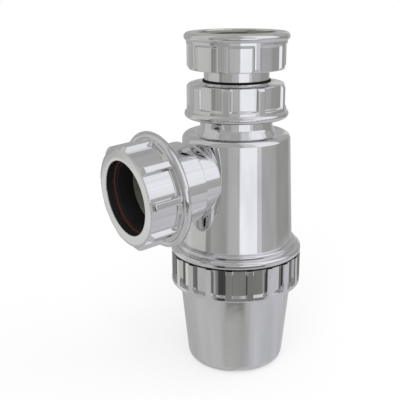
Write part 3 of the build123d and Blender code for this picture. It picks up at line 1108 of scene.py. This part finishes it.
class TRAP_OT_coupling_nuts(bpy.types.Operator):
    """Build the two ribbed coupling nuts at the neck and at the inlet"""

    bl_idname = "trap.coupling_nuts"
    bl_label = "Coupling Nuts"

    def execute(self, context):
        nut = context.scene.trap_coupling
        thread_r = context.scene.trap_pipe.thread_radius
        upright = Matrix.Translation((0.0, 0.0, inlet_nut_low.z))
        turned_over = Matrix.Translation((0.0, 0.0, neck_nut_high.z)) @ Matrix.Rotation(pi, 4, "X")
        for name, drop, turn, place in (
            ("inlet_nut", nut.inlet_face_drop, nut.inlet_turn, upright),
            ("neck_nut", nut.face_drop, -nut.neck_turn, turned_over),
        ):
            mesh = ribbed_nut(f"{name}_shell", nut, drop, thread_r, turn, place)
            piece = new_object(f"{name}_shell", mesh)
            put_on(piece, name, "chrome_plating", chrome_plating(), name)
        root = thread_r + context.scene.trap_pipe.thread_depth
        low_inset = 0.0003
        high_inset = 0.0010
        lining_low = nut.closed_wall + nut.relief_length + low_inset
        lining_high = nut.total_length - high_inset
        # The olive-grey skin in the nut's relief is a painted reflection.
        lining = lining_ring("inlet_nut_lining", root, lining_low, lining_high, upright)
        put_on(lining, "inlet_nut", "black_plastic", painted_bore_reflection())
        return {"FINISHED"}


class TRAP_OT_outlet_nut(bpy.types.Operator):
    """Build the larger ribbed nut on the outlet"""

    bl_idname = "trap.outlet_nut"
    bl_label = "Outlet Nut"

    def execute(self, context):
        nut = context.scene.trap_outlet
        thread_r = context.scene.trap_pipe.outlet_thread_radius
        place = outlet_nut_place()
        mesh = ribbed_nut("outlet_nut_shell", nut, 0.0, thread_r, nut.rib_turn, place)
        piece = new_object("outlet_nut_shell", mesh)
        put_on(piece, "outlet_nut", "chrome_plating", chrome_plating(), "outlet_nut")
        # A black rubber skin in the front wall's opening, painted shade on the nut's inner wall.
        inset = 0.0005
        lining_high = nut.closed_wall - inset
        lining = lining_ring("outlet_nut_lining", nut.opening_radius, inset, lining_high, place)
        put_on(lining, "outlet_nut", "black_rubber", black_rubber())
        return {"FINISHED"}


class TRAP_OT_inlet_tube(bpy.types.Operator):
    """Build the telescopic inlet tube with its flange"""

    bl_idname = "trap.inlet_tube"
    bl_label = "Inlet Tube"

    def execute(self, context):
        pipe = context.scene.trap_pipe
        radius = pipe.pipe_radius
        inner = radius - pipe.tube_wall
        flange_r = pipe.thread_radius - pipe.tube_flange_gap
        low = tube_low.z
        high = tube_high.z
        flange_low = high - pipe.tube_flange
        edge = pipe.tube_round
        outline = rounded(
            (inner, low), (radius, low, edge), (radius, flange_low),
            (flange_r, flange_low, edge), (flange_r, high, edge), (inner, high, edge),
        )
        piece = new_object("telescopic_tube", finished_mesh(turned_mesh("telescopic_tube", outline)))
        put_on(piece, "inlet_tube", "chrome_plating", chrome_plating(), "inlet_tube")
        return {"FINISHED"}


class TRAP_OT_slip_rings(bpy.types.Operator):
    """Build the thin plastic rings that the neck and outlet nuts turn on"""

    bl_idname = "trap.slip_rings"
    bl_label = "Slip Rings"

    def execute(self, context):
        pipe = context.scene.trap_pipe
        seals = context.scene.trap_seals
        edge = seals.slip_ring_round
        neck_outer = pipe.thread_radius - pipe.turn_gap
        neck_low = context.scene.trap_body.socket_top + seals.neck_seal
        outlet_outer = pipe.outlet_thread_radius - pipe.turn_gap
        outlet_low = context.scene.trap_branch.socket_end + seals.outlet_seal
        for node, gap, outer, low, place in (
            ("neck_slip_ring", seals.neck_ring_gap, neck_outer, neck_low, None),
            ("outlet_slip_ring", seals.outlet_ring_gap, outlet_outer, outlet_low, branch_place()),
        ):
            outline = ring_outline(pipe.pipe_radius + gap, outer, low, low + seals.slip_ring, edge)
            mesh = finished_mesh(turned_mesh(f"{node}_disc", outline), place)
            piece = new_object(f"{node}_disc", mesh)
            put_on(piece, node, "slip_ring_plastic", slip_ring_plastic(), node)
        return {"FINISHED"}


class TRAP_OT_seals(bpy.types.Operator):
    """Build the rubber seals of the neck, outlet, cup and inlet, and the black ring over the cup that paints
    the shadow under the flange
    """

    bl_idname = "trap.seals"
    bl_label = "Rubber Seals"

    def execute(self, context):
        scene = context.scene
        for node, rides, outline, place in (
            ("neck_seal", "trap_body", self.neck(scene), None),
            ("outlet_seal", "trap_body", self.outlet(scene), branch_place()),
            ("cup_seal", "cup_seal", self.cup(scene), None),
            ("inlet_washer", "inlet_tube", self.washer(scene), None),
        ):
            mesh = finished_mesh(turned_mesh(f"{node}_rubber", outline), place)
            piece = new_object(f"{node}_rubber", mesh)
            put_on(piece, rides, "black_rubber", black_rubber(), node)
        # A black ring in the gap under the flange, painted shadow.
        mesh = finished_mesh(turned_mesh("flange_gasket", self.shadow_ring(scene)))
        piece = new_object("flange_gasket", mesh)
        put_on(piece, "trap_body", "black_rubber", black_rubber())
        return {"FINISHED"}

    def neck(self, scene):
        """The neck's seal, with the lip that stands in the nut's opening."""
        pipe = scene.trap_pipe
        seals = scene.trap_seals
        bore_r = pipe.bore_radius
        seal_bore = pipe.pipe_radius + seals.pipe_gap
        lip_outer = seal_bore + seals.lip_wall
        outer = pipe.thread_radius - 2 * pipe.turn_gap
        low = scene.trap_body.socket_top
        mouth = scene.trap_body.mouth_chamfer
        high = low + seals.neck_seal
        lip_top = neck_nut_high.z + seals.lip_stand
        edge = seals.seal_round
        return rounded(
            (seal_bore, low - mouth), (bore_r, low - mouth), (bore_r + mouth, low), (outer, low, edge),
            (outer, high, edge), (lip_outer, high),
            (lip_outer, lip_top, seals.lip_round), (seal_bore, lip_top, seals.lip_round),
        )

    def outlet(self, scene):
        """The outlet's seal, with its sleeve inside the socket."""
        pipe = scene.trap_pipe
        branch = scene.trap_branch
        seals = scene.trap_seals
        bore_r = pipe.bore_radius
        seal_bore = pipe.pipe_radius + seals.pipe_gap
        outer = pipe.outlet_thread_radius - 2 * pipe.turn_gap
        low = branch.socket_end
        high = low + seals.outlet_seal
        edge = seals.seal_round
        return rounded(
            (seal_bore, branch.sleeve_start), (bore_r, branch.sleeve_start),
            (bore_r, low - branch.mouth_lead), (bore_r + branch.mouth_lead, low),
            (outer, low, edge), (outer, high, edge), (seal_bore, high, seals.outlet_seal_round),
        )

    def cup(self, scene):
        """The ring between the cup's ledge and the skirt."""
        body = scene.trap_body
        inner = body.skirt_radius - body.wall
        edge = scene.trap_seals.seal_round
        return ring_outline(inner, body.skirt_radius, scene.trap_cup.ledge, body.skirt_low, edge)

    def washer(self, scene):
        """The washer on the tube's flange."""
        seals = scene.trap_seals
        outer = scene.trap_pipe.thread_radius - scene.trap_pipe.turn_gap
        inner = outer - seals.washer_width
        return ring_outline(inner, outer, tube_high.z, tube_high.z + seals.washer, seals.seal_round)

    def shadow_ring(self, scene):
        """A thin black ring between the flange and the cup's ring, painted shadow of the gap under the
        flange.
        """
        low = scene.trap_cup.ring_high + scene.trap_seals.shadow_ring_lift
        high = scene.trap_body.flange_low + scene.trap_seals.shadow_ring_lift
        inner = scene.trap_body.skirt_radius - scene.trap_pipe.thread_depth
        outer = scene.trap_body.flange_radius - scene.trap_seals.shadow_ring_inset
        return ring_outline(inner, outer, low, high)


class TRAP_OT_threads(bpy.types.Operator):
    """Build the screw threads of the neck, the outlet, the skirt, the cup and the three nuts"""

    bl_idname = "trap.threads"
    bl_label = "Threads"

    def execute(self, context):
        pipe = context.scene.trap_pipe
        body = context.scene.trap_body
        depth = pipe.thread_depth
        sunk = 0.00005
        half_width_share = 0.42
        male = -pipe.turn_gap - depth
        cup_root = body.skirt_radius + pipe.turn_gap + depth
        back = branch_place()
        neck_r = pipe.thread_radius
        outlet_r = pipe.outlet_thread_radius
        # Name, body, root radius, lower end, upper end, pitch and frame of each thread
        threads = (
            ("neck_thread", "trap_body", neck_r + male, 0.1452, 0.1529, pipe.thread_pitch, None),
            ("outlet_thread", "trap_body", outlet_r + male, 0.0508, 0.0610, pipe.thread_pitch, back),
            ("skirt_thread", "trap_body", body.skirt_radius - depth, 0.0532, 0.0640, pipe.cup_pitch, None),
            ("inlet_nut_thread", "inlet_nut", neck_r + depth, 0.1742, 0.1832, pipe.thread_pitch, None),
            ("neck_nut_thread", "neck_nut", neck_r + depth, 0.1418, 0.1505, pipe.thread_pitch, None),
            ("outlet_nut_thread", "outlet_nut", outlet_r + depth, 0.0502, 0.0622, pipe.thread_pitch, back),
            ("cup_thread", "cup", cup_root, 0.0522, 0.0636, pipe.cup_pitch, None),
        )
        for name, rides, root, low, high, pitch, place in threads:
            turns = (high - low) / pitch
            values = {
                "Root Radius": root,
                "Pitch": pitch,
                "Turns": turns,
                "Ridge Height": depth - sunk,
                "Ridge Half Width": pitch * half_width_share,
                "Steps": THREAD_STEPS,
                "Finish": chrome_plating(),
            }
            mesh = grown_mesh(name, bpy.data.meshes.new("empty"), thread_tree(), values)
            lift = Matrix.Translation((0.0, 0.0, low))
            piece = new_object(name, finished_mesh(mesh, lift if place is None else place @ lift))
            # The nuts' threads take the olive-grey painted reflection.
            if name.endswith("nut_thread"):
                put_on(piece, rides, "black_plastic", painted_bore_reflection())
            else:
                put_on(piece, rides, "chrome_plating", chrome_plating())
        return {"FINISHED"}


class Card(NamedTuple):
    """A soft-edged card round the trap: where it hangs, and the grey that plating shows of it."""

    name: str
    bearing: float
    half_width: float
    softness: float
    low: float
    high: float
    fade: float
    grey: int
    tint: tuple


COOL = (0.985, 0.99, 1.045)
EVEN = (1.0, 1.0, 1.0)
WARM = (1.005, 1.01, 0.975)
ROOM_GREY = 158
# Bearings are degrees from the camera to its right, and heights are sines.
# A later card hangs before an earlier one.
CARDS = (
    Card("left wall", -88, 28, 5, -0.32, 1.0, 0.03, 180, WARM),
    Card("doorway", -56, 6, 4, -0.32, 0.30, 0.03, 132, WARM),
    Card("front wall", -32, 18, 6, -0.32, 0.12, 0.03, 149, WARM),
    Card("front light", -5, 11, 10, -0.32, 0.20, 0.03, 172, EVEN),
    Card("window", 27, 19, 5, -0.32, 0.10, 0.03, 230, COOL),
    Card("window frame", 49, 5, 3, -0.32, 0.10, 0.03, 190, COOL),
    Card("right wall", 116, 25, 14, -0.32, 0.20, 0.03, 139, WARM),
    Card("rear light", 167, 8, 5, -0.32, 0.30, 0.03, 186, EVEN),
    Card("skylight", 68, 34, 12, 0.08, 1.0, 0.03, 224, COOL),
    Card("ceiling light", 30, 14, 12, 0.10, 1.0, 0.03, 194, COOL),
    Card("floor", 0, 180, 5, -1.0, -0.47, 0.02, 166, EVEN),
    Card("floor on the right", 88, 60, 70, -1.0, -0.47, 0.02, 180, COOL),
    Card("floor on the left", -60, 34, 30, -1.0, -0.47, 0.02, 174, EVEN),
    Card("floor behind", 171, 13, 14, -1.0, -0.50, 0.02, 208, EVEN),
    Card("floor in front", 0, 30, 24, -0.68, -0.44, 0.06, 159, WARM),
    Card("shade in front", 0, 20, 14, -0.597, -0.44, 0.014, 118, WARM),
    Card("bench", 0, 180, 5, -0.47, -0.32, 0.02, 170, EVEN),
    Card("bench left", -116, 16, 9, -0.47, -0.31, 0.02, 192, WARM),
    Card("bench front", 8, 46, 8, -0.47, -0.31, 0.02, 116, WARM),
    Card("bench gap", -25, 7, 4, -0.47, -0.31, 0.02, 62, COOL),
    Card("bench right", 98, 34, 9, -0.47, -0.31, 0.02, 182, COOL),
)
PLATING_GREY = 230
MOTTLE_ROUND = 0.024
MOTTLE_TALL = 8.0
MOTTLE_SPAN = (0.90, 1.10)
SOFT_STRENGTH = 0.7


def linear(value):
    """A linear value from an 8-bit display value."""
    share = value / 255
    return share / 12.92 if share <= 0.04045 else ((share + 0.055) / 1.055) ** 2.4


def card_light(grey, tint):
    """The light of a card that polished plating shows as a grey of the display."""
    light = linear(grey) / linear(PLATING_GREY)
    return (light * tint[0], light * tint[1], light * tint[2], 1.0)


class TRAP_OT_stage(bpy.types.Operator):
    """Set up the pale floor, the soft studio and the camera"""

    bl_idname = "trap.stage"
    bl_label = "Stage"

    def execute(self, context):
        look = context.scene.trap_stage
        self.floor(look)
        self.lamps()
        self.studio(context, look)
        self.camera(context, look)
        context.scene.view_settings.view_transform = "Standard"
        return {"FINISHED"}

    def floor(self, look):
        """The floor, which fades to white for the camera and shows in no reflection."""
        reach = 4
        front = [(-reach, -reach, 0), (reach, -reach, 0)]
        back = [(-reach, reach, 0), (reach, reach, 0)]
        mesh = grid_mesh("floor", [front, back], False, False)
        floor = new_object("floor", mesh)
        material = bpy.data.materials.new("Studio Floor")
        material.use_nodes = True
        tree = material.node_tree
        tree.nodes.clear()
        maker = TreeMaker(tree)
        matt = maker.add("ShaderNodeBsdfDiffuse", {"Color": (*look.floor_colour, 1.0)})
        white = maker.add("ShaderNodeEmission", {"Color": (*look.floor_colour, 1.0), "Strength": 1.0})
        seen = maker.add("ShaderNodeLightPath").outputs["Is Camera Ray"]
        place = maker.add("ShaderNodeTexCoord").outputs["Object"]
        away = maker.add("ShaderNodeVectorMath", {0: place}, operation="LENGTH").outputs["Value"]
        near, far = FLOOR_FADE
        whiteness = maker.add(
            "ShaderNodeMapRange",
            {"Value": away, "From Min": near, "From Max": far, "To Min": FLOOR_WHITE, "To Max": 1.0},
            interpolation_type="SMOOTHSTEP",
        )
        part = maker.math("MULTIPLY", seen, whiteness.outputs[0])
        mixed = maker.add("ShaderNodeMixShader", {0: part, 1: matt.outputs[0], 2: white.outputs[0]})
        out = maker.add("ShaderNodeOutputMaterial")
        tree.links.new(mixed.outputs[0], out.inputs["Surface"])
        mesh.materials.append(material)
        floor.visible_glossy = False

    def lamps(self):
        """Two soft lamps, which show in no reflection."""
        target = Vector((0.0, 0.0, 0.08))
        for name, place, size, power in (
            ("key_lamp", (-0.9, -1.0, 1.6), 1.2, 16.0),
            ("fill_lamp", (1.2, -0.8, 1.2), 1.4, 6.0),
        ):
            lamp = bpy.data.lights.new(name, "AREA")
            lamp.shape = "SQUARE"
            lamp.size = size
            lamp.energy = power
            piece = new_object(name, lamp)
            piece.location = place
            aim = target - Vector(place)
            piece.rotation_euler = aim.to_track_quat("-Z", "Y").to_euler()
            piece.visible_glossy = False

    def studio(self, context, look):
        """The world: cards in reflections, soft light elsewhere and white behind."""
        world = bpy.data.worlds.new("Studio")
        context.scene.world = world
        world.use_nodes = True
        tree = world.node_tree
        tree.nodes.clear()
        maker = TreeMaker(tree)
        toward = -Vector(look.camera_place)
        toward.z = 0.0
        toward.normalize()
        right = Vector((toward.y, -toward.x, 0.0))
        direction = maker.add("ShaderNodeTexCoord").outputs["Generated"]
        aside = maker.add("ShaderNodeVectorMath", {0: direction, 1: right}, operation="DOT_PRODUCT")
        behind = maker.add("ShaderNodeVectorMath", {0: direction, 1: -toward}, operation="DOT_PRODUCT")
        turn = maker.math("ARCTAN2", aside.outputs["Value"], behind.outputs["Value"])
        compass = maker.math("DEGREES", turn)
        height = maker.add("ShaderNodeSeparateXYZ", {0: direction}).outputs["Z"]
        mirrored = card_light(ROOM_GREY, EVEN)
        for card in CARDS:
            shown = self.card_mask(maker, compass, height, card)
            light = card_light(card.grey, card.tint)
            colours = {"Factor": shown, 6: mirrored, 7: light}
            mixed = maker.add("ShaderNodeMix", colours, data_type="RGBA", label=card.name)
            mirrored = mixed.outputs[2]
        tall = maker.math("MULTIPLY", height, MOTTLE_TALL)
        around = maker.math("MULTIPLY", compass, MOTTLE_ROUND)
        spot = maker.add("ShaderNodeCombineXYZ", {0: around, 1: tall})
        patches = maker.add("ShaderNodeTexNoise", {"Vector": spot.outputs[0], "Scale": 1.0, "Detail": 2.0})
        dim, bright = MOTTLE_SPAN
        mottle = maker.add(
            "ShaderNodeMapRange",
            {"Value": patches.outputs[0], "From Min": 0.3, "From Max": 0.7, "To Min": dim, "To Max": bright},
        )
        rays = maker.add("ShaderNodeLightPath").outputs
        studio = maker.add("ShaderNodeBackground", {"Color": mirrored, "Strength": mottle.outputs[0]})
        soft = maker.add("ShaderNodeBackground", {"Color": (1.0, 1.0, 1.0, 1.0), "Strength": SOFT_STRENGTH})
        plain = maker.add("ShaderNodeBackground", {"Color": (1.0, 1.0, 1.0, 1.0), "Strength": 1.0})
        lit = maker.add(
            "ShaderNodeMixShader", {0: rays["Is Glossy Ray"], 1: soft.outputs[0], 2: studio.outputs[0]}
        )
        chosen = maker.add(
            "ShaderNodeMixShader", {0: rays["Is Camera Ray"], 1: lit.outputs[0], 2: plain.outputs[0]}
        )
        out = maker.add("ShaderNodeOutputWorld")
        tree.links.new(chosen.outputs[0], out.inputs["Surface"])

    def card_mask(self, maker, compass, height, card):
        """1 where a card is seen and 0 elsewhere, with soft edges."""
        away = maker.math("SUBTRACT", compass, card.bearing)
        wrapped = maker.math("WRAP", away, 180.0, -180.0)
        aside = maker.math("ABSOLUTE", wrapped)
        half_soft = card.softness / 2
        edges = (
            (aside, card.half_width + half_soft, card.half_width - half_soft),
            (height, card.low - card.fade, card.low + card.fade),
            (height, card.high + card.fade, card.high - card.fade),
        )
        mask = 1.0
        for value, outside, inside in edges:
            edge = maker.add(
                "ShaderNodeMapRange",
                {"Value": value, "From Min": outside, "From Max": inside, "To Min": 0.0, "To Max": 1.0},
                interpolation_type="SMOOTHSTEP",
            )
            mask = maker.math("MULTIPLY", mask, edge.outputs[0])
        return mask

    def camera(self, context, look):
        """The camera, from its place, turns and lens."""
        eye = bpy.data.cameras.new("camera")
        eye.lens = look.camera_lens
        eye.sensor_width = 36.0
        eye.clip_start = 0.01
        eye.clip_end = 20.0
        piece = new_object("camera", eye)
        heading = Matrix.Rotation(look.camera_heading, 4, "Z")
        fall = Matrix.Rotation(pi / 2 - look.camera_fall, 4, "X")
        roll = Matrix.Rotation(look.camera_roll, 4, "Z")
        piece.matrix_world = Matrix.Translation(look.camera_place) @ heading @ fall @ roll
        context.scene.camera = piece


class TRAP_PT_sidebar(bpy.types.Panel):
    """Sizes, colours and build steps of the bottle trap"""

    bl_idname = "TRAP_PT_sidebar"
    bl_label = "Bottle Trap"
    bl_space_type = "VIEW_3D"
    bl_region_type = "UI"
    bl_category = "Bottle Trap"

    def draw(self, context):
        layout = self.layout
        for operator in STEPS:
            layout.operator(operator.bl_idname)
        for attribute, group in SIZE_GROUPS.items():
            box = layout.box()
            box.label(text=group.__name__)
            settings = getattr(context.scene, attribute)
            for field in group.__annotations__:
                box.prop(settings, field)


STEPS = (
    TRAP_OT_body,
    TRAP_OT_dip_tube,
    TRAP_OT_cup,
    TRAP_OT_coupling_nuts,
    TRAP_OT_outlet_nut,
    TRAP_OT_inlet_tube,
    TRAP_OT_slip_rings,
    TRAP_OT_seals,
    TRAP_OT_threads,
    TRAP_OT_stage,
)


def register():
    """Registers the size groups, the operators and the panel."""
    for group in (*SIZE_GROUPS.values(), *STEPS, TRAP_PT_sidebar):
        bpy.utils.register_class(group)
    for attribute, group in SIZE_GROUPS.items():
        setattr(bpy.types.Scene, attribute, PointerProperty(type=group))


def unregister():
    """Takes the classes and the size groups out again."""
    for attribute in SIZE_GROUPS:
        delattr(bpy.types.Scene, attribute)
    for group in reversed((*SIZE_GROUPS.values(), *STEPS, TRAP_PT_sidebar)):
        bpy.utils.unregister_class(group)


def main():
    """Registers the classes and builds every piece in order."""
    register()
    bpy.ops.trap.body()
    bpy.ops.trap.dip_tube()
    bpy.ops.trap.cup()
    bpy.ops.trap.coupling_nuts()
    bpy.ops.trap.outlet_nut()
    bpy.ops.trap.inlet_tube()
    bpy.ops.trap.slip_rings()
    bpy.ops.trap.seals()
    bpy.ops.trap.threads()
    bpy.ops.trap.stage()


if __name__ == "__main__":
    main()
